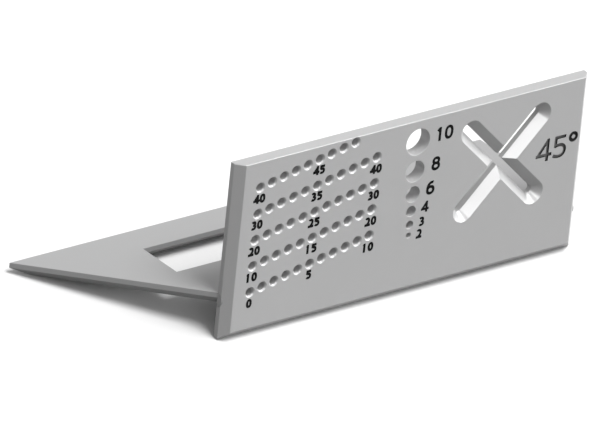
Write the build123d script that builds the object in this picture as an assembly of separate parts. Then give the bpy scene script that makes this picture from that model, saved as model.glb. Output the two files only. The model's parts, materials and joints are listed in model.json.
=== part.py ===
from build123d import *
from math import atan2, degrees, radians, sqrt, tan
import os

# Multifunction ruler in two glued plates. The face plate carries a grid of pencil holes in 1 mm steps,
# a column of gauge holes and a bevelled 45 degree cross slot. The base plate is a fence with one mitre
# side and a window, and its half-round front edge is glued into a groove across the face plate's back.
# Drawing frame: X along the face plate, Y back from its rear face, Z up from the base's top face.

# Face plate
PLATE_LENGTH = 152.4
PLATE_THICK = 5.0
ABOVE_BASE = 50.0
BELOW_BASE = 12.0
PLATE_CHAMFER = 3.0

# Base plate
BASE_THICK = 5.0
BASE_DEPTH = 50.8
MITRE_ANGLE = 45.0
BASE_CHAMFER = 3.0
GLUE_FILM = 0.05

# Window in the base plate, by what is left around it: its left end lies past the face plate's end
WINDOW_PAST_PLATE = 3.175
FRONT_RAIL = 19.05
BACK_RAIL = 12.7
RIGHT_RAIL = 50.8

# Pencil holes: each one lies a step to the right of the last and a whole millimetre higher
PENCIL_BORE = 3.0
PENCIL_MOUTH = 3.8
PENCIL_FROM_LEFT = 10.0
PENCIL_STEP = 5.0
PENCIL_RISE = 1.0
ROW_RISE = 10.0
ROW_COUNTS = (11, 11, 11, 11, 9)

# Gauge holes: bore, and height above the base's top face
GAUGES_FROM_LEFT = 77.5
GAUGES = ((10.0, 41.75), (8.0, 30.45), (6.0, 21.65), (4.0, 15.15), (3.0, 10.0), (2.0, 5.9))

# Cross slot: two arms at 45 degrees, wide at the front and a narrow slit at the back
CROSS_FROM_RIGHT = 36.5
CROSS_HEIGHT = 25.0
ARM_SPREAD = 15.0
MOUTH_WIDTH = 9.0
SLIT_WIDTH = 3.0
BEVEL_DEPTH = 3.0

# Cutters run this far past the face that they cut
OVERRUN = 1.0

LEFT = -PLATE_LENGTH / 2
RIGHT = PLATE_LENGTH / 2
PLATE_BOTTOM = -BASE_THICK - BELOW_BASE
FRONT = -PLATE_THICK
TONGUE_RADIUS = BASE_THICK / 2


def along_x(radius, length):
    """A bar of the groove's line: on the plate's rear face, level with the middle of the base."""
    bar = Cylinder(radius, length, rotation=(0, 90, 0))
    return Pos(0, 0, -TONGUE_RADIUS) * bar


def plate_blank():
    """The face plate with its front left, front right and front bottom edges chamfered."""
    height = ABOVE_BASE - PLATE_BOTTOM
    middle = (ABOVE_BASE + PLATE_BOTTOM) / 2
    blank = Pos(0, FRONT / 2, middle) * Box(PLATE_LENGTH, PLATE_THICK, height)
    front_edges = blank.faces().sort_by(Axis.Y)[0].edges().sort_by(Axis.Z)
    return chamfer(front_edges[:-1], PLATE_CHAMFER)


def from_front(tool, x, z):
    """Turns a cutter that is drawn down its own -Z axis, so that it enters the front face at x, z."""
    return Pos(x, FRONT, z) * Rot(90, 0, 0) * tool


def turned_cutter(profile):
    """A round cutter: a half section, as radius and height pairs, turned about its own axis."""
    section = make_face(Polyline(*profile, close=True))
    return revolve(Plane.XZ * section, Axis.Z)


def pencil_cutter():
    """A through hole with a 45 degree lead-in for the pencil's point."""
    bore = PENCIL_BORE / 2
    mouth = PENCIL_MOUTH / 2
    top = mouth + OVERRUN
    end = -PLATE_THICK - OVERRUN
    return turned_cutter([(0, OVERRUN), (top, OVERRUN), (bore, bore - mouth), (bore, end), (0, end)])


def pencil_holes():
    """Every pencil hole: hole n is n millimetres above the base's top face."""
    cutter = pencil_cutter()
    holes = []
    for row, count in enumerate(ROW_COUNTS):
        for step in range(count):
            x = LEFT + PENCIL_FROM_LEFT + step * PENCIL_STEP
            z = row * ROW_RISE + step * PENCIL_RISE
            holes.append(from_front(cutter, x, z))
    return holes


def gauge_holes():
    """The straight holes that a drill, dowel or screw is tried in."""
    depth = PLATE_THICK + 2 * OVERRUN
    x = LEFT + GAUGES_FROM_LEFT
    return [from_front(Pos(0, 0, -PLATE_THICK / 2) * Cylinder(bore / 2, depth), x, z) for bore, z in GAUGES]


def arm_cutter():
    """One arm of the cross slot, as a bevel cutter leaves it: a straight run with two turned ends."""
    half_slit = SLIT_WIDTH / 2
    half_mouth = MOUTH_WIDTH / 2
    half_top = half_mouth + OVERRUN * (half_mouth - half_slit) / BEVEL_DEPTH
    end = -PLATE_THICK - OVERRUN
    side = [(half_top, OVERRUN), (half_slit, -BEVEL_DEPTH), (half_slit, end)]
    other_side = [(-u, v) for u, v in reversed(side)]
    run = 2 * sqrt(2) * ARM_SPREAD
    section = make_face(Polyline(*side, *other_side, close=True))
    arm = extrude(Plane.YZ.offset(-run / 2) * section, run)
    turned_end = turned_cutter([(0, OVERRUN), *side, (0, end)])
    return arm + [Pos(x, 0, 0) * turned_end for x in (-run / 2, run / 2)]


def cross_slot():
    """Both arms, crossing at their middles."""
    arm = arm_cutter()
    return [from_front(Rot(0, 0, turn) * arm, RIGHT - CROSS_FROM_RIGHT, CROSS_HEIGHT) for turn in (45, -45)]


def face_plate():
    """The upright plate, with every hole and the groove that takes the base's tongue."""
    groove = along_x(TONGUE_RADIUS + GLUE_FILM, PLATE_LENGTH + 2 * OVERRUN)
    return plate_blank() - groove - pencil_holes() - gauge_holes() - cross_slot()


def tongue():
    """The half-round front edge of the base, which reaches into the face plate."""
    front_half = Pos(0, -TONGUE_RADIUS, -TONGUE_RADIUS) * Box(PLATE_LENGTH, BASE_THICK, BASE_THICK)
    return along_x(TONGUE_RADIUS, PLATE_LENGTH) & front_half


def window():
    """The opening through the base, straight at the top and flared by the chamfer below."""
    left = LEFT - WINDOW_PAST_PLATE
    right = RIGHT - RIGHT_RAIL
    back = BASE_DEPTH - BACK_RAIL
    centre = Pos((left + right) / 2, (FRONT_RAIL + back) / 2, 0)
    return centre * Rectangle(right - left, back - FRONT_RAIL)


def base_plate():
    """The flat fence: its underside is chamfered on its free sides and round the window."""
    mitre_tip = (LEFT - BASE_DEPTH * tan(radians(MITRE_ANGLE)), BASE_DEPTH)
    outline = make_face(Polyline((LEFT, 0), mitre_tip, (RIGHT, BASE_DEPTH), (RIGHT, 0), close=True))
    plate = extrude(outline - window(), -BASE_THICK)
    underside = plate.faces().sort_by(Axis.Z)[0].edges()
    front_edge = underside.sort_by(Axis.Y)[0]
    plate = chamfer([edge for edge in underside if edge is not front_edge], BASE_CHAMFER)
    return plate + tongue()


def at_rest(pieces):
    """Leans the ruler back on its two lowest edges, over the middle of the space that it takes."""
    lean = degrees(atan2(BELOW_BASE, BASE_DEPTH - BASE_CHAMFER))
    leaning = [Rot(-lean, 0, 0) * piece for piece in pieces]
    box = leaning[0].bounding_box().add(leaning[1].bounding_box())
    centre = box.center()
    return [Pos(-centre.X, -centre.Y, -box.min.Z) * piece for piece in leaning]


os.makedirs("parts", exist_ok=True)
names = ("face_plate", "base_plate")
for name, piece in zip(names, at_rest([face_plate(), base_plate()])):
    piece.label = name
    export_step(piece, f"parts/{name}.step")
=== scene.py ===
import json
from math import atan2, copysign, cos, pi, radians, sin, sqrt, tan

import bmesh
import bpy
from mathutils import Matrix, Vector
from mathutils.geometry import delaunay_2d_cdt


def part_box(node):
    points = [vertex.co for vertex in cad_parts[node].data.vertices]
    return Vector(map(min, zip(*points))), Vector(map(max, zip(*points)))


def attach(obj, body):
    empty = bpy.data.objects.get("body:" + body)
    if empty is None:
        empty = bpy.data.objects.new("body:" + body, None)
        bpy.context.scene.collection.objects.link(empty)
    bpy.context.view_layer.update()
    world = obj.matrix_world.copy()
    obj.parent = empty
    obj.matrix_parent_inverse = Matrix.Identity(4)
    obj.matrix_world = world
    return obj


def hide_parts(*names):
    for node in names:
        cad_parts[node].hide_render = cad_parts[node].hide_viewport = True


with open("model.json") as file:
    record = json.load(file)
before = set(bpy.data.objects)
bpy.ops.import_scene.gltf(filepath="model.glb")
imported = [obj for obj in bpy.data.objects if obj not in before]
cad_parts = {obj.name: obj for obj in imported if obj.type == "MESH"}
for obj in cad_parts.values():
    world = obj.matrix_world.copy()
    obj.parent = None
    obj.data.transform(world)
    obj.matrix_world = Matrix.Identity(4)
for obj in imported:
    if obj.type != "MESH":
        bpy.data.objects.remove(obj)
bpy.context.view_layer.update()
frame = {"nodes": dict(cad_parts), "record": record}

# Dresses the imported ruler: two plates with broken edges and sunk numbers, their plastics, and a pale studio.
# Lengths are in millimetres in the ruler's drawing frame, which is leaned into place at the end:
# x from the middle of the face plate, y back from its rear face, z up from the base's top face.
MM = 0.001

# Face plate. The pencil holes' mouths are as measured on the photograph, 0.2 mm wider than in the solid.
PLATE_CHAMFER = 3.0
PENCIL_BORE = 3.0
PENCIL_MOUTH = 4.0
PENCIL_FROM_LEFT = 10.0
PENCIL_STEP = 5.0
PENCIL_RISE = 1.0
ROW_RISE = 10.0
ROW_COUNTS = (11, 11, 11, 11, 9)
CROSS_FROM_RIGHT = 36.5
CROSS_HEIGHT = 25.0
ARM_SPREAD = 15.0
MOUTH_WIDTH = 9.0
SLIT_WIDTH = 3.0
BEVEL_DEPTH = 3.0

# Base plate
BASE_CHAMFER = 3.0
WINDOW_PAST_PLATE = 3.175
FRONT_RAIL = 19.05
BACK_RAIL = 12.7
RIGHT_RAIL = 50.8
GLUE_FILM = 0.05

# Edges are broken by this much: the plates' outer edges, the rims of holes, and the ends of the glued joint
EDGE_ROUND = 0.22
RIM_ROUND = 0.16
JOINT_ROUND = 0.2

# How finely round shapes are divided
ROUND_STEPS = 3
PENCIL_SIDES = 40
GAUGE_SIDES = 72
SLOT_SIDES = 72
GROOVE_SIDES = 96
TONGUE_STEPS = 48
CURVE_STEPS = 10
LOOP_STEPS = 40

# What counts as a sharp edge, as a smooth one and as flat, and as one point in a mesh and in a flat drawing
SHARP_FROM = radians(20)
SMOOTH_UP_TO = radians(40)
FLAT = radians(0.5)
WELD = 0.001
SAME_POINT = 1e-4

# How much more large faces count than small ones where they share a point's shading
LARGE_FACES_FIRST = 90

# Cutters run this far past the plates, and their rounded rims are drawn out by this share of their last step
OVERRUN = 1.0
RIM_OVERSHOOT = 0.5

# Materials: name, grey as a linear reflectance, roughness, and gloss as a specular level
FACE_PLASTIC = ("face_plastic", 0.44, 0.35, 0.5)
BASE_PLASTIC = ("base_plastic", 0.355, 0.35, 0.5)
BLACK_INK = ("black_ink", 0.003, 0.55, 0.04)
# The engraved walls' and floors' dark greys are painted shade in the recesses, not the plastic's own colour
ENGRAVED_WALL_SHADE = ("engraved_wall_painted_shade", 0.03, 0.6, 0.1)
ENGRAVED_FLOOR_SHADE = ("engraved_floor_painted_shade", 0.13, 0.5, 0.25)

# The face plate's materials, and where the numbers' ones are in that list: ink, then the painted shade of the
# engraved walls and floors
FACE_MATERIALS = (FACE_PLASTIC, BLACK_INK, ENGRAVED_WALL_SHADE, ENGRAVED_FLOOR_SHADE)
INK, WALL_SHADE, FLOOR_SHADE = 1, 2, 3

# Printed and engraved numbers: depth, then the materials of the floor and the walls. The engraved numbers get
# painted shade on their walls and floors, and the degree sign is painted shade all over.
PRINTED = (0.06, INK, INK)
ENGRAVED_WITH_SHADE = (0.65, FLOOR_SHADE, WALL_SHADE)
DEGREE_SIGN_SHADE = (0.65, WALL_SHADE, WALL_SHADE)

# The numbers' cutters start this far above the face
ABOVE_FACE = 0.4

# At a sharp turn a stroke's half width is divided by no less than this, so that the corner stays short
TURN_LIMIT = 0.4

# The grid's numbers: height, stroke, and how far each is below its hole, by the hole's place in its row
GRID_TEXT = (3.5, 1.0)
LABEL_DROPS = {0: 4.25, 5: 4.1, 10: 4.5}

# The gauge holes' numbers: text, height, stroke, gap from the hole's edge, and rise above its middle
GAUGE_LABELS = (
    ("10", 5.35, 1.1, 2.86, 0.92),
    ("8", 5.35, 1.1, 3.04, 1.09),
    ("6", 5.25, 1.1, 2.74, 0.83),
    ("4", 4.25, 0.95, 2.37, 0.46),
    ("3", 3.6, 0.95, 2.35, 0.13),
    ("2", 3.6, 0.95, 2.33, -0.35),
)

# The angle beside the cross slot: height and stroke, then places from the plate's left end and the base's top
ANGLE_TEXT = (8.6, 1.25)
ANGLE_PITCH = 6.85
ANGLE_TEXT_LEFT = 130.6
ANGLE_TEXT_HEIGHT = 25.3
DEGREE_RING = (146.6, 27.9, 4.0)

# How the photograph sees the ruler, in its drawing frame: from the left and above, and a little rolled
VIEW_TURN = 39.854
VIEW_RISE = 26.720
VIEW_ROLL = 5.836
VIEW_FOCUS = (-45.678, -2.5, 24.800)
VIEW_DISTANCE = 6743.4
LENS = 1190.0
SENSOR = 36.0

# The camera sees from and to these distances, in metres
CLIP_START = 0.1
CLIP_END = 20.0

# Lamps in the same frame: name, turn to the left, rise, strength against a white wall, softness in degrees.
# The sheens only add to the face plate's gloss, for the bright bevels and turned ends of the cross slot.
LAMPS = (
    ("key", -19.5, 64.0, 0.88, 30.0),
    ("low_right", -77.0, 7.0, 0.83, 30.0),
)
SHEENS = (
    ("sheen_on_ends", -52.0, 43.0, 2.60, 35.0),
    ("sheen_on_bevels", 29.9, 33.2, 1.22, 25.0),
)

# The sky's strength, then the floor's half width in metres, its tone as it is seen, and its tone as it
# throws light back on the ruler
SKY = 0.41
FLOOR_HALF = 4.0
FLOOR_SEEN = 0.86
FLOOR_BOUNCE = 0.13

# The plastic's grain, as noise scale and detail: clouding, speckle, and the texture of the mould
PLASTIC_IOR = 1.5
CLOUDS = (60.0, 3.0)
SPECKLE = (2600.0, 2.0)
TEXTURE = (3800.0, 3.0)
NOISE_ROUGHNESS = 0.6

# Between these values the noise takes the grey from its low tone to its high one, a little bluer,
# and the roughness from less to more
NOISE_LOW, NOISE_HIGH = 0.3, 0.7
SPECKLE_SHARE = 0.35
TONE_LOW, TONE_HIGH = 0.985, 1.015
BLUE = 1.005
ROUGHNESS_SPREAD = 0.02

# The mould's texture is this deep, in metres, and this much of it shows
TEXTURE_DEPTH = 0.00004
TEXTURE_STRENGTH = 0.12


def unit(values):
    """A direction as a vector of length one."""
    return Vector(values).normalized()


def mount(name):
    """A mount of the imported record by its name."""
    return next(m for m in frame["record"]["mounts"] if m["name"] == name)


def ruler_placing():
    """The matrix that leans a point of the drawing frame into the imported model's place, both in metres."""
    back = unit(mount("work_face")["axis"])
    up = unit(mount("fence_face")["axis"])
    across = back.cross(up)
    low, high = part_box("face_plate")
    origin = across * ((low + high) / 2).dot(across)
    origin += back * Vector(mount("work_face")["pos_m"]).dot(back)
    origin += up * Vector(mount("fence_face")["pos_m"]).dot(up)
    turn = Matrix((across, back, up)).transposed().to_4x4()
    return Matrix.Translation(origin) @ turn


PLACING = ruler_placing()


def drawn_box(node):
    """A CAD node's lowest and highest corners in the drawing frame, in millimetres."""
    back_home = PLACING.inverted()
    points = [back_home @ v.co / MM for v in frame["nodes"][node].data.vertices]
    return [Vector([pick(p[i] for p in points) for i in range(3)]) for pick in (min, max)]


PLATE_LOW, PLATE_HIGH = drawn_box("face_plate")
BASE_LOW, BASE_HIGH = drawn_box("base_plate")
LEFT, RIGHT = PLATE_LOW.x, PLATE_HIGH.x
FRONT = PLATE_LOW.y
PLATE_THICK = -FRONT
BASE_THICK = -BASE_LOW.z
TONGUE_RADIUS = BASE_THICK / 2


def new_object(name, bm):
    """Turns a bmesh into an object of its own, with its faces turned outwards."""
    bmesh.ops.recalc_face_normals(bm, faces=bm.faces)
    mesh = bpy.data.meshes.new(name)
    bm.to_mesh(mesh)
    bm.free()
    piece = bpy.data.objects.new(name, mesh)
    bpy.context.scene.collection.objects.link(piece)
    return piece


def add_stack(bm, loops):
    """Adds a closed solid from loops of points, one above the other, with a cap on each end."""
    rings = [[bm.verts.new(point) for point in loop] for loop in loops]
    bm.faces.new(rings[0])
    bm.faces.new(rings[-1])
    for lower, upper in zip(rings, rings[1:]):
        for i, vert in enumerate(lower):
            j = (i + 1) % len(lower)
            bm.faces.new((vert, lower[j], upper[j], upper[i]))


def circle(radius, count):
    """A circle's points about the origin."""
    return [(radius * cos(2 * pi * i / count), radius * sin(2 * pi * i / count)) for i in range(count)]


def stadium(run, radius, count):
    """A slot's outline: two half circles, a run apart."""
    ends = circle(radius, count)
    quarter = count // 4
    right = [(u + run / 2, v) for u, v in (ends[-quarter:] + ends[:quarter + 1])]
    left = [(u - run / 2, v) for u, v in ends[quarter:3 * quarter + 1]]
    return right + left


def rectangle(half_u, half_v):
    """A rectangle's corners about the origin."""
    return [(half_u, half_v), (-half_u, half_v), (-half_u, -half_v), (half_u, -half_v)]


def rounded_corner(before, corner, after, radius):
    """The points of an arc that rounds one corner of a profile."""
    a = (Vector(before) - Vector(corner)).normalized()
    b = (Vector(after) - Vector(corner)).normalized()
    half = a.angle(b) / 2
    reach = radius / tan(half)
    centre = Vector(corner) + (a + b).normalized() * (radius / sin(half))
    start = Vector(corner) + a * reach - centre
    end = Vector(corner) + b * reach - centre
    sweep = pi - 2 * half
    points = []
    for i in range(ROUND_STEPS + 1):
        t = i / ROUND_STEPS
        weight_a = sin((1 - t) * sweep) / sin(sweep)
        weight_b = sin(t * sweep) / sin(sweep)
        points.append(centre + start * weight_a + end * weight_b)
    return points


def cutter_profile(corners, radius):
    """A cutter's side as (widening, height) pairs, with rounded corners and ends that run past the plate."""
    first, last = corners[0], corners[-1]
    on_near_face = (first[0] + 1, first[1])
    on_far_face = (last[0] + 1, last[1])
    profile = [on_near_face, *corners, on_far_face]
    points = []
    for before, corner, after in zip(profile, profile[1:], profile[2:]):
        points += rounded_corner(before, corner, after, radius)
    points[0] = points[0] + (points[0] - points[1]) * RIM_OVERSHOOT
    points[-1] = points[-1] + (points[-1] - points[-2]) * RIM_OVERSHOOT
    top = Vector((points[0].x, first[1] + OVERRUN))
    bottom = Vector((points[-1].x, last[1] - OVERRUN))
    return [top, *points, bottom]


def add_cutter(bm, outline, profile, place):
    """Adds a cutter: outline(widening) is its loop at each height of the profile."""
    loops = []
    for widening, height in profile:
        loops.append([place @ Vector((u, v, height)) for u, v in outline(widening)])
    add_stack(bm, loops)


def from_front(x, z, turn=0.0):
    """A cutter's placing on the face plate: its own z points out of the front face."""
    face_on = Matrix.Rotation(pi / 2, 4, "X")
    return Matrix.Translation((x, FRONT, z)) @ face_on @ Matrix.Rotation(turn, 4, "Z")


def pencil_places():
    """Each pencil hole's place in its row, its number, and its x and z."""
    for row, count in enumerate(ROW_COUNTS):
        for step in range(count):
            rise = row * ROW_RISE + step * PENCIL_RISE
            yield step, round(rise), LEFT + PENCIL_FROM_LEFT + step * PENCIL_STEP, rise


def gauge_places():
    """Each gauge hole's x, z and radius, read from the record's mounts."""
    back_home = PLACING.inverted()
    for item in frame["record"]["mounts"]:
        if item["kind"] == "bore":
            point = back_home @ Vector(item["pos_m"]) / MM
            yield point.x, point.z, item["dims"]["r_mm"]


def hole_cutters():
    """Every round hole, as one mesh to take out of the face plate."""
    bm = bmesh.new()
    lead_in = (PENCIL_MOUTH - PENCIL_BORE) / 2
    profile = cutter_profile([(lead_in, 0), (0, -lead_in), (0, -PLATE_THICK)], RIM_ROUND)
    for _, _, x, z in pencil_places():
        add_cutter(bm, lambda w: circle(PENCIL_BORE / 2 + w, PENCIL_SIDES), profile, from_front(x, z))
    straight = cutter_profile([(0, 0), (0, -PLATE_THICK)], RIM_ROUND)
    for x, z, radius in gauge_places():
        add_cutter(bm, lambda w: circle(radius + w, GAUGE_SIDES), straight, from_front(x, z))
    return new_object("hole_cutters", bm)


def arm_cutter(turn):
    """One arm of the cross slot."""
    bm = bmesh.new()
    flare = (MOUTH_WIDTH - SLIT_WIDTH) / 2
    run = 2 * sqrt(2) * ARM_SPREAD
    profile = cutter_profile([(flare, 0), (0, -BEVEL_DEPTH), (0, -PLATE_THICK)], RIM_ROUND)
    place = from_front(RIGHT - CROSS_FROM_RIGHT, CROSS_HEIGHT, turn)
    add_cutter(bm, lambda w: stadium(run, SLIT_WIDTH / 2 + w, SLOT_SIDES), profile, place)
    return new_object("arm_cutter", bm)


def groove_cutter():
    """The half-round groove for the base's tongue, right across the plate's rear face."""
    bm = bmesh.new()
    profile = cutter_profile([(0, RIGHT), (0, LEFT)], JOINT_ROUND)
    place = Matrix.Translation((0, 0, -TONGUE_RADIUS)) @ Matrix.Rotation(pi / 2, 4, "Y")
    add_cutter(bm, lambda w: circle(TONGUE_RADIUS + GLUE_FILM + w, GROOVE_SIDES), profile, place)
    return new_object("groove_cutter", bm)


def break_edges(bm):
    """Rounds a blank's sharp outer edges."""
    edges = [edge for edge in bm.edges if edge.calc_face_angle_signed() > SHARP_FROM]
    bmesh.ops.bevel(bm, geom=edges, offset=EDGE_ROUND, segments=ROUND_STEPS, profile=0.5, affect="EDGES",
                    clamp_overlap=True)


def plate_blank():
    """The face plate with its chamfers, before the holes."""
    bm = bmesh.new()
    loops = []
    for y, inset in ((0.0, 0.0), (FRONT + PLATE_CHAMFER, 0.0), (FRONT, PLATE_CHAMFER)):
        left, right = LEFT + inset, RIGHT - inset
        low, high = PLATE_LOW.z + inset, PLATE_HIGH.z
        loops.append([(left, y, low), (right, y, low), (right, y, high), (left, y, high)])
    add_stack(bm, loops)
    bmesh.ops.recalc_face_normals(bm, faces=bm.faces)
    bmesh.ops.dissolve_limit(bm, angle_limit=FLAT, verts=bm.verts, edges=bm.edges)
    break_edges(bm)
    return new_object("face_plate_dressed", bm)


def base_outline(inset):
    """The slab's outline at one level, inset on its free sides, from its front left corner on."""
    far = BASE_HIGH.y - inset
    right = RIGHT - inset
    mitre = atan2(LEFT - BASE_LOW.x, BASE_HIGH.y)
    left = LEFT + inset / cos(mitre)
    return [(left, 0.0), (right, 0.0), (right, far), (left - far * tan(mitre), far)]


def tongue_arc(bm, corner):
    """One end of the tongue's half round, from the slab's top corner round to its underside."""
    turns = [pi * i / TONGUE_STEPS for i in range(1, TONGUE_STEPS + 1)]
    arc = [(-TONGUE_RADIUS * sin(t), TONGUE_RADIUS * (cos(t) - 1)) for t in turns]
    return [corner] + [bm.verts.new((corner.co.x, y, z)) for y, z in arc]


def close_front(bm, top, middle, bottom):
    """Closes the front of the slab, given by its three levels, with the half-round tongue."""
    left, right = [tongue_arc(bm, corner) for corner in top[:2]]
    for i in range(TONGUE_STEPS - 1):
        bm.faces.new((left[i], left[i + 1], right[i + 1], right[i]))
    bm.faces.new((left[-2], left[-1], bottom[0], bottom[1], right[-1], right[-2]))
    for arc, side, low in ((left, middle[0], bottom[0]), (right, middle[1], bottom[1])):
        bm.faces.new([*arc, side])
        bm.faces.new((arc[-1], side, low))


def base_blank():
    """The base plate with its chamfered underside and half-round front edge, before the window."""
    bm = bmesh.new()
    levels = []
    for z, inset in ((0.0, 0.0), (BASE_CHAMFER - BASE_THICK, 0.0), (-BASE_THICK, BASE_CHAMFER)):
        levels.append([bm.verts.new((x, y, z)) for x, y in base_outline(inset)])
    top, middle, bottom = levels
    bm.faces.new(top)
    bm.faces.new(bottom)
    for upper, lower in ((top, middle), (middle, bottom)):
        for i, j in ((1, 2), (2, 3), (3, 0)):
            bm.faces.new((upper[i], upper[j], lower[j], lower[i]))
    close_front(bm, top, middle, bottom)
    bmesh.ops.recalc_face_normals(bm, faces=bm.faces)
    break_edges(bm)
    return new_object("base_plate_dressed", bm)


def window_cutter():
    """The window through the base: straight at the top and flared below."""
    bm = bmesh.new()
    left, right = LEFT - WINDOW_PAST_PLATE, RIGHT - RIGHT_RAIL
    back = BASE_HIGH.y - BACK_RAIL
    corners = [(0, 0), (0, BASE_CHAMFER - BASE_THICK), (BASE_CHAMFER, -BASE_THICK)]
    place = Matrix.Translation(((left + right) / 2, (FRONT_RAIL + back) / 2, 0))
    half_u, half_v = (right - left) / 2, (back - FRONT_RAIL) / 2
    add_cutter(bm, lambda w: rectangle(half_u + w, half_v + w), cutter_profile(corners, EDGE_ROUND), place)
    return new_object("window_cutter", bm)


def cut(piece, tool):
    """Takes a tool out of a piece, and applies the result at once. The tool shares the piece's materials."""
    for material in piece.data.materials:
        tool.data.materials.append(material)
    modifier = piece.modifiers.new("cut", "BOOLEAN")
    modifier.operation = "DIFFERENCE"
    modifier.object = tool
    modifier.solver = "EXACT"
    modifier.material_mode = "TRANSFER"
    graph = bpy.context.evaluated_depsgraph_get()
    result = bpy.data.meshes.new_from_object(piece.evaluated_get(graph))
    piece.modifiers.clear()
    old = piece.data
    piece.data = result
    bpy.data.meshes.remove(old)
    bpy.data.objects.remove(tool)


# Numbers. Each stroke's points lie in a unit box that is then inset by half the stroke's width.

def bezier(start, *curves):
    """A smooth path of cubic curves, each given by its two handles and its end."""
    path = [Vector(start)]
    for handle_a, handle_b, end in curves:
        p0, p1, p2, p3 = path[-1], Vector(handle_a), Vector(handle_b), Vector(end)
        for i in range(1, CURVE_STEPS + 1):
            t = i / CURVE_STEPS
            r = 1 - t
            path.append(p0 * r ** 3 + p1 * 3 * t * r ** 2 + p2 * 3 * t ** 2 * r + p3 * t ** 3)
    return path


def oval(centre_u, centre_v, half_u, half_v, squareness=2.15):
    """A closed loop, a little squarer than an ellipse."""
    loop = []
    for c, s in circle(1.0, LOOP_STEPS):
        u = copysign(abs(c) ** (2 / squareness), c)
        v = copysign(abs(s) ** (2 / squareness), s)
        loop.append(Vector((centre_u + half_u * u, centre_v + half_v * v)))
    return loop


# Per sign: left bearing and width as shares of its height, then its strokes as (kind, points)
SIGNS = {
    "0": (0.055, 0.70, [("closed", oval(0.5, 0.5, 0.5, 0.5, 2.3))]),
    "1": (0.12, 0.38, [("square", [(1, 0), (1, 1)]), ("butt", [(1.0, 1.04), (-0.08, 0.80)])]),
    "2": (0.05, 0.685, [
        ("butt", bezier((0.0, 0.87),
                        ((0.14, 0.96), (0.28, 1.0), (0.45, 1.0)),
                        ((0.75, 1.0), (0.95, 0.87), (0.95, 0.68)),
                        ((0.95, 0.50), (0.78, 0.34), (0.60, 0.20)),
                        ((0.40, 0.08), (0.20, 0.02), (0.02, -0.02)))),
        ("square", [(0, 0), (1, 0)]),
    ]),
    "3": (0.035, 0.70, [
        ("butt", bezier((0.04, 0.90),
                        ((0.18, 0.97), (0.32, 1.0), (0.46, 1.0)),
                        ((0.74, 1.0), (0.91, 0.91), (0.91, 0.77)),
                        ((0.91, 0.61), (0.72, 0.53), (0.28, 0.53)))),
        ("butt", bezier((0.28, 0.53),
                        ((0.76, 0.53), (1.0, 0.44), (1.0, 0.27)),
                        ((1.0, 0.09), (0.78, 0.0), (0.42, 0.0)),
                        ((0.26, 0.0), (0.12, 0.03), (0.0, 0.09)))),
    ]),
    "4": (0.01, 0.79, [
        ("square", [(0.77, 0), (0.77, 1)]),
        ("square", [(0, 0.24), (1, 0.24)]),
        ("butt", [(0.80, 1.03), (0.0, 0.22)]),
    ]),
    "5": (0.07, 0.67, [
        ("square", [(0.12, 1), (0.9, 1)]),
        ("butt", [(0.10, 1.06), (0.06, 0.50)]),
        ("butt", bezier((0.03, 0.545),
                        ((0.18, 0.585), (0.30, 0.60), (0.42, 0.60)),
                        ((0.78, 0.60), (1.0, 0.48), (1.0, 0.31)),
                        ((1.0, 0.11), (0.78, 0.0), (0.42, 0.0)),
                        ((0.25, 0.0), (0.06, 0.03), (-0.10, 0.10)))),
    ]),
    "6": (0.06, 0.70, [
        ("butt", bezier((0.93, 0.975),
                        ((0.86, 1.0), (0.80, 1.0), (0.72, 1.0)),
                        ((0.24, 1.0), (0.0, 0.74), (0.0, 0.34)))),
        ("closed", oval(0.5, 0.305, 0.5, 0.305)),
    ]),
    "8": (0.055, 0.70, [("closed", oval(0.5, 0.765, 0.43, 0.235)), ("closed", oval(0.5, 0.27, 0.5, 0.27))]),
}

# From one sign of a number to the next, as a share of the height
SIGN_PITCH = 0.725


def stroke_sides(points, width, kind):
    """The two sides of a stroke, offset from its points, with mitred turns."""
    points = [Vector(p) for p in points]
    if kind == "square":
        first = (points[0] - points[1]).normalized() * width / 2
        last = (points[-1] - points[-2]).normalized() * width / 2
        points[0], points[-1] = points[0] + first, points[-1] + last
    count = len(points)
    sides = ([], [])
    for i, point in enumerate(points):
        before = points[i - 1] if i or kind == "closed" else None
        after = points[(i + 1) % count] if i < count - 1 or kind == "closed" else None
        into = (point - before).normalized() if before else (after - point).normalized()
        out = (after - point).normalized() if after else into
        normal = Vector((-(into + out).y, (into + out).x)).normalized()
        reach = width / 2 / max(TURN_LIMIT, normal.dot(Vector((-into.y, into.x))))
        sides[0].append(point + normal * reach)
        sides[1].append(point - normal * reach)
    return sides


def stroke_quads(points, width, kind):
    """A stroke as a row of four-cornered pieces."""
    left, right = stroke_sides(points, width, kind)
    for i in range(0 if kind == "closed" else 1, len(left)):
        yield left[i - 1], right[i - 1], right[i], left[i]


def flat_union(quads):
    """One flat mesh of the ground that the pieces cover together, without overlaps."""
    corners = [corner for quad in quads for corner in quad]
    faces = [range(4 * i, 4 * i + 4) for i in range(len(quads))]
    only_inside = 1
    points, _, triangles, _, _, sources = delaunay_2d_cdt(corners, [], faces, only_inside, SAME_POINT)
    flat = bmesh.new()
    verts = [flat.verts.new((*point, 0)) for point in points]
    for triangle, source in zip(triangles, sources):
        if source:
            flat.faces.new([verts[i] for i in triangle])
    bmesh.ops.dissolve_limit(flat, angle_limit=FLAT, verts=flat.verts, edges=flat.edges)
    return flat


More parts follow.
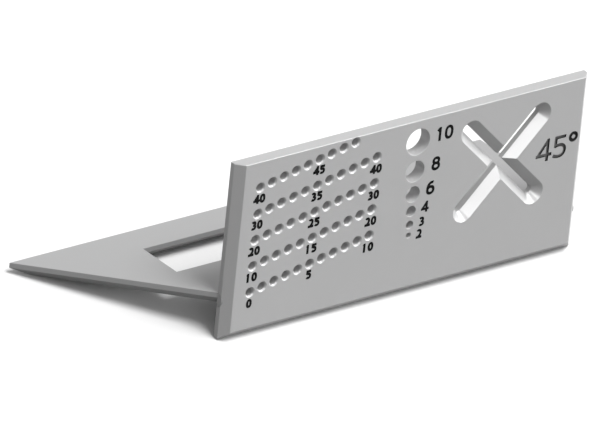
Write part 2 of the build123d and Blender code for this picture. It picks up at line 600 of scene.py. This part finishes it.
def add_engraving(bm, quads, style):
    """Adds the cutter of one number: its floor and its walls have materials of their own, black ink when
    printed and painted shade when engraved.
    """
    depth, floor, wall = style
    flat = flat_union(quads)
    place = from_front(0, 0)
    levels = []
    for height, material in ((ABOVE_FACE, wall), (-depth, floor)):
        level = {vert: bm.verts.new(place @ Vector((vert.co.x, vert.co.y, height))) for vert in flat.verts}
        for face in flat.faces:
            bm.faces.new([level[vert] for vert in face.verts]).material_index = material
        levels.append(level)
    high, low = levels
    for edge in flat.edges:
        if edge.is_boundary:
            a, b = edge.verts
            bm.faces.new((high[a], high[b], low[b], low[a])).material_index = wall
    flat.free()


def text_extent(text, height):
    """How far a text's ink reaches from the left of its first cell: its left end and its right end."""
    first, last = SIGNS[text[0]], SIGNS[text[-1]]
    return first[0] * height, ((len(text) - 1) * SIGN_PITCH + last[0] + last[1]) * height


def add_text(bm, text, left, bottom, height, stroke, style):
    """Adds the cutter of a number whose first cell starts at left."""
    quads = []
    for i, sign in enumerate(text):
        bearing, width, strokes = SIGNS[sign]
        corner = Vector((left + (i * SIGN_PITCH + bearing) * height + stroke / 2, bottom + stroke / 2))
        box = Vector((width * height - stroke, height - stroke))
        for kind, points in strokes:
            drawn = [Vector((corner.x + p[0] * box.x, corner.y + p[1] * box.y)) for p in points]
            quads += stroke_quads(drawn, stroke, kind)
    add_engraving(bm, quads, style)


def add_grid_numbers(bm):
    """The numbers under the first, middle and last holes of the rows."""
    height, stroke = GRID_TEXT
    for step, number, x, z in pencil_places():
        if step in LABEL_DROPS:
            text = str(number)
            left = x - sum(text_extent(text, height)) / 2
            add_text(bm, text, left, z - LABEL_DROPS[step] - height / 2, height, stroke, PRINTED)


def add_gauge_numbers(bm):
    """The sizes beside the gauge holes."""
    for (text, height, stroke, gap, rise), (x, z, radius) in zip(GAUGE_LABELS, gauge_places()):
        left = x + radius + gap - text_extent(text, height)[0]
        add_text(bm, text, left, z + rise - height / 2, height, stroke, PRINTED)


def add_angle(bm):
    """The engraved angle beside the cross slot, with its degree sign, darkened with painted shade on its walls
    and floors and the degree sign all over.
    """
    height, stroke = ANGLE_TEXT
    for i, sign in enumerate("45"):
        left = LEFT + ANGLE_TEXT_LEFT + i * ANGLE_PITCH
        add_text(bm, sign, left, ANGLE_TEXT_HEIGHT - height / 2, height, stroke, ENGRAVED_WITH_SHADE)
    x, z, size = DEGREE_RING
    ring = [(LEFT + x + u, z + v) for u, v in circle((size - stroke) / 2, LOOP_STEPS)]
    add_engraving(bm, list(stroke_quads(ring, stroke, "closed")), DEGREE_SIGN_SHADE)


def number_cutters():
    """Every number on the face plate, as one mesh."""
    bm = bmesh.new()
    add_grid_numbers(bm)
    add_gauge_numbers(bm)
    add_angle(bm)
    return new_object("number_cutters", bm)


def value_node(tree, kind, **inputs):
    """A node with its inputs set by name."""
    node = tree.nodes.new(kind)
    for name, value in inputs.items():
        node.inputs[name.replace("_", " ")].default_value = value
    return node


def grain(tree, scale, detail):
    """A noise texture in the object's own coordinates."""
    place = tree.nodes.new("ShaderNodeTexCoord")
    noise = value_node(tree, "ShaderNodeTexNoise", Scale=scale, Detail=detail, Roughness=NOISE_ROUGHNESS)
    tree.links.new(place.outputs["Object"], noise.inputs["Vector"])
    return noise


def uneven_grey(tree, clouds, grey):
    """The colour of the plastic, a little uneven with its clouds and speckle."""
    speckle = grain(tree, *SPECKLE)
    tone = tree.nodes.new("ShaderNodeMix")
    tone.data_type = "FLOAT"
    tone.inputs["Factor"].default_value = SPECKLE_SHARE
    tree.links.new(clouds.outputs["Fac"], tone.inputs["A"])
    tree.links.new(speckle.outputs["Fac"], tone.inputs["B"])
    ramp = tree.nodes.new("ShaderNodeValToRGB")
    stops = ((NOISE_LOW, TONE_LOW), (NOISE_HIGH, TONE_HIGH))
    for stop, (place, factor) in zip(ramp.color_ramp.elements, stops):
        stop.position = place
        stop.color = (grey * factor, grey * factor, grey * factor * BLUE, 1)
    tree.links.new(tone.outputs["Result"], ramp.inputs["Fac"])
    return ramp.outputs["Color"]


def mould_texture(tree):
    """The fine bumps that a spark-eroded mould leaves."""
    texture = grain(tree, *TEXTURE)
    bump = value_node(tree, "ShaderNodeBump", Strength=TEXTURE_STRENGTH, Distance=TEXTURE_DEPTH)
    tree.links.new(texture.outputs["Fac"], bump.inputs["Height"])
    return bump.outputs["Normal"]


def plastic(name, grey, roughness, gloss):
    """Matte moulded plastic: a fine spark-eroded grain, with faint clouding in its tone and gloss."""
    material = bpy.data.materials.new(name)
    material.use_nodes = True
    tree = material.node_tree
    shader = tree.nodes["Principled BSDF"]
    shader.inputs["IOR"].default_value = PLASTIC_IOR
    shader.inputs["Specular IOR Level"].default_value = gloss
    clouds = grain(tree, *CLOUDS)
    spread = value_node(tree, "ShaderNodeMapRange", From_Min=NOISE_LOW, From_Max=NOISE_HIGH,
                        To_Min=roughness - ROUGHNESS_SPREAD, To_Max=roughness + ROUGHNESS_SPREAD)
    tree.links.new(clouds.outputs["Fac"], spread.inputs["Value"])
    tree.links.new(uneven_grey(tree, clouds, grey), shader.inputs["Base Color"])
    tree.links.new(spread.outputs["Result"], shader.inputs["Roughness"])
    tree.links.new(mould_texture(tree), shader.inputs["Normal"])
    return material


def studio_mix(tree, as_background, as_light, output):
    """Shows one shader to the camera and in reflections, and lets the other do the lighting."""
    rays = tree.nodes.new("ShaderNodeLightPath")
    share = rays.outputs["Is Camera Ray"]
    for name in ("Is Glossy Ray", "Is Transmission Ray"):
        either = tree.nodes.new("ShaderNodeMath")
        either.operation = "MAXIMUM"
        tree.links.new(share, either.inputs[0])
        tree.links.new(rays.outputs[name], either.inputs[1])
        share = either.outputs["Value"]
    mix = tree.nodes.new("ShaderNodeMixShader")
    tree.links.new(share, mix.inputs["Fac"])
    tree.links.new(as_light.outputs[0], mix.inputs[1])
    tree.links.new(as_background.outputs[0], mix.inputs[2])
    tree.links.new(mix.outputs["Shader"], output.inputs["Surface"])


def floor_material():
    """A pale floor that throws little light back, so that undersides stay deep."""
    material = bpy.data.materials.new("studio_floor")
    material.use_nodes = True
    tree = material.node_tree
    tree.nodes.clear()
    pale = value_node(tree, "ShaderNodeBsdfDiffuse", Color=(FLOOR_SEEN, FLOOR_SEEN, FLOOR_SEEN, 1))
    deep = value_node(tree, "ShaderNodeBsdfDiffuse", Color=(FLOOR_BOUNCE, FLOOR_BOUNCE, FLOOR_BOUNCE, 1))
    studio_mix(tree, pale, deep, tree.nodes.new("ShaderNodeOutputMaterial"))
    return material


def add_world():
    """A white background with a soft sky's light."""
    world = bpy.data.worlds.new("studio")
    world.use_nodes = True
    tree = world.node_tree
    tree.nodes.clear()
    white = value_node(tree, "ShaderNodeBackground", Color=(1, 1, 1, 1), Strength=1.0)
    soft = value_node(tree, "ShaderNodeBackground", Color=(1, 1, 1, 1), Strength=SKY)
    studio_mix(tree, white, soft, tree.nodes.new("ShaderNodeOutputWorld"))
    bpy.context.scene.world = world


def towards(turn, rise):
    """A direction in the drawing frame, in degrees: turned to the left of the plate's front, and up."""
    t, r = radians(turn), radians(rise)
    return Vector((-sin(t) * cos(r), -cos(t) * cos(r), sin(r)))


def lean(direction):
    """A direction of the drawing frame as it lies once the ruler leans."""
    return PLACING.to_3x3() @ direction


def add_sun(name, turn, rise, strength, softness):
    """A soft sun. A white wall that faces it shows its strength."""
    lamp = bpy.data.lights.new(name, "SUN")
    lamp.energy = strength * pi
    lamp.angle = radians(softness)
    holder = bpy.data.objects.new(name, lamp)
    holder.rotation_mode = "QUATERNION"
    holder.rotation_quaternion = lean(towards(turn, rise)).to_track_quat("Z", "Y")
    bpy.context.scene.collection.objects.link(holder)
    return holder


def add_sheen(piece, *lamp):
    """A lamp that adds to one piece's gloss only, as a small lamp held close to it would."""
    holder = add_sun(*lamp)
    holder.visible_diffuse = False
    receivers = bpy.data.collections.new(f"{holder.name}_receivers")
    receivers.objects.link(piece)
    holder.light_linking.receiver_collection = receivers


def add_camera():
    """The photograph's view, through a very long lens because the photograph has next to no perspective."""
    back = towards(VIEW_TURN, VIEW_RISE)
    level = Vector((0, 0, 1)).cross(back).normalized()
    up = back.cross(level)
    roll = radians(VIEW_ROLL)
    right = level * cos(roll) + up * sin(roll)
    upright = up * cos(roll) - level * sin(roll)
    place = Vector(VIEW_FOCUS) + back * VIEW_DISTANCE
    data = bpy.data.cameras.new("photo_view")
    data.lens = LENS
    data.sensor_width = SENSOR
    data.clip_start, data.clip_end = CLIP_START, CLIP_END
    camera = bpy.data.objects.new("photo_view", data)
    turn = Matrix((lean(right), lean(upright), lean(back))).transposed()
    camera.matrix_world = Matrix.Translation(PLACING @ (place * MM)) @ turn.to_4x4()
    bpy.context.scene.collection.objects.link(camera)
    bpy.context.scene.camera = camera


def add_floor():
    """The studio's floor, which the ruler rests on."""
    bm = bmesh.new()
    bmesh.ops.create_grid(bm, x_segments=1, y_segments=1, size=FLOOR_HALF)
    floor = new_object("floor", bm)
    floor.data.materials.append(floor_material())


def weld(mesh):
    """Joins the points that the cuts have left almost on top of each other."""
    bm = bmesh.new()
    bm.from_mesh(mesh)
    bmesh.ops.remove_doubles(bm, verts=bm.verts, dist=WELD)
    bmesh.ops.dissolve_degenerate(bm, edges=bm.edges, dist=WELD)
    bm.to_mesh(mesh)
    bm.free()


def finish_piece(piece, node):
    """Leans a dressed plate into place, smooths its rounded edges only, and puts it in for its CAD node."""
    mesh = piece.data
    weld(mesh)
    mesh.transform(PLACING @ Matrix.Scale(MM, 4))
    mesh.shade_smooth()
    mesh.set_sharp_from_angle(angle=SMOOTH_UP_TO)
    weighted = piece.modifiers.new("flat_faces_first", "WEIGHTED_NORMAL")
    weighted.keep_sharp = True
    weighted.weight = LARGE_FACES_FIRST
    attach(piece, "root")
    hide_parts(node)


face_plate = plate_blank()
# The face plate's list also takes the painted shade of the engraved walls and floors
for look in FACE_MATERIALS:
    face_plate.data.materials.append(plastic(*look))
for tool in (groove_cutter(), hole_cutters(), arm_cutter(pi / 4), arm_cutter(-pi / 4), number_cutters()):
    cut(face_plate, tool)
base_plate = base_blank()
base_plate.data.materials.append(plastic(*BASE_PLASTIC))
cut(base_plate, window_cutter())

finish_piece(face_plate, "face_plate")
finish_piece(base_plate, "base_plate")

add_floor()
add_world()
for lamp in LAMPS:
    add_sun(*lamp)
for sheen in SHEENS:
    add_sheen(face_plate, *sheen)
add_camera()
bpy.context.scene.view_settings.view_transform = "Standard"
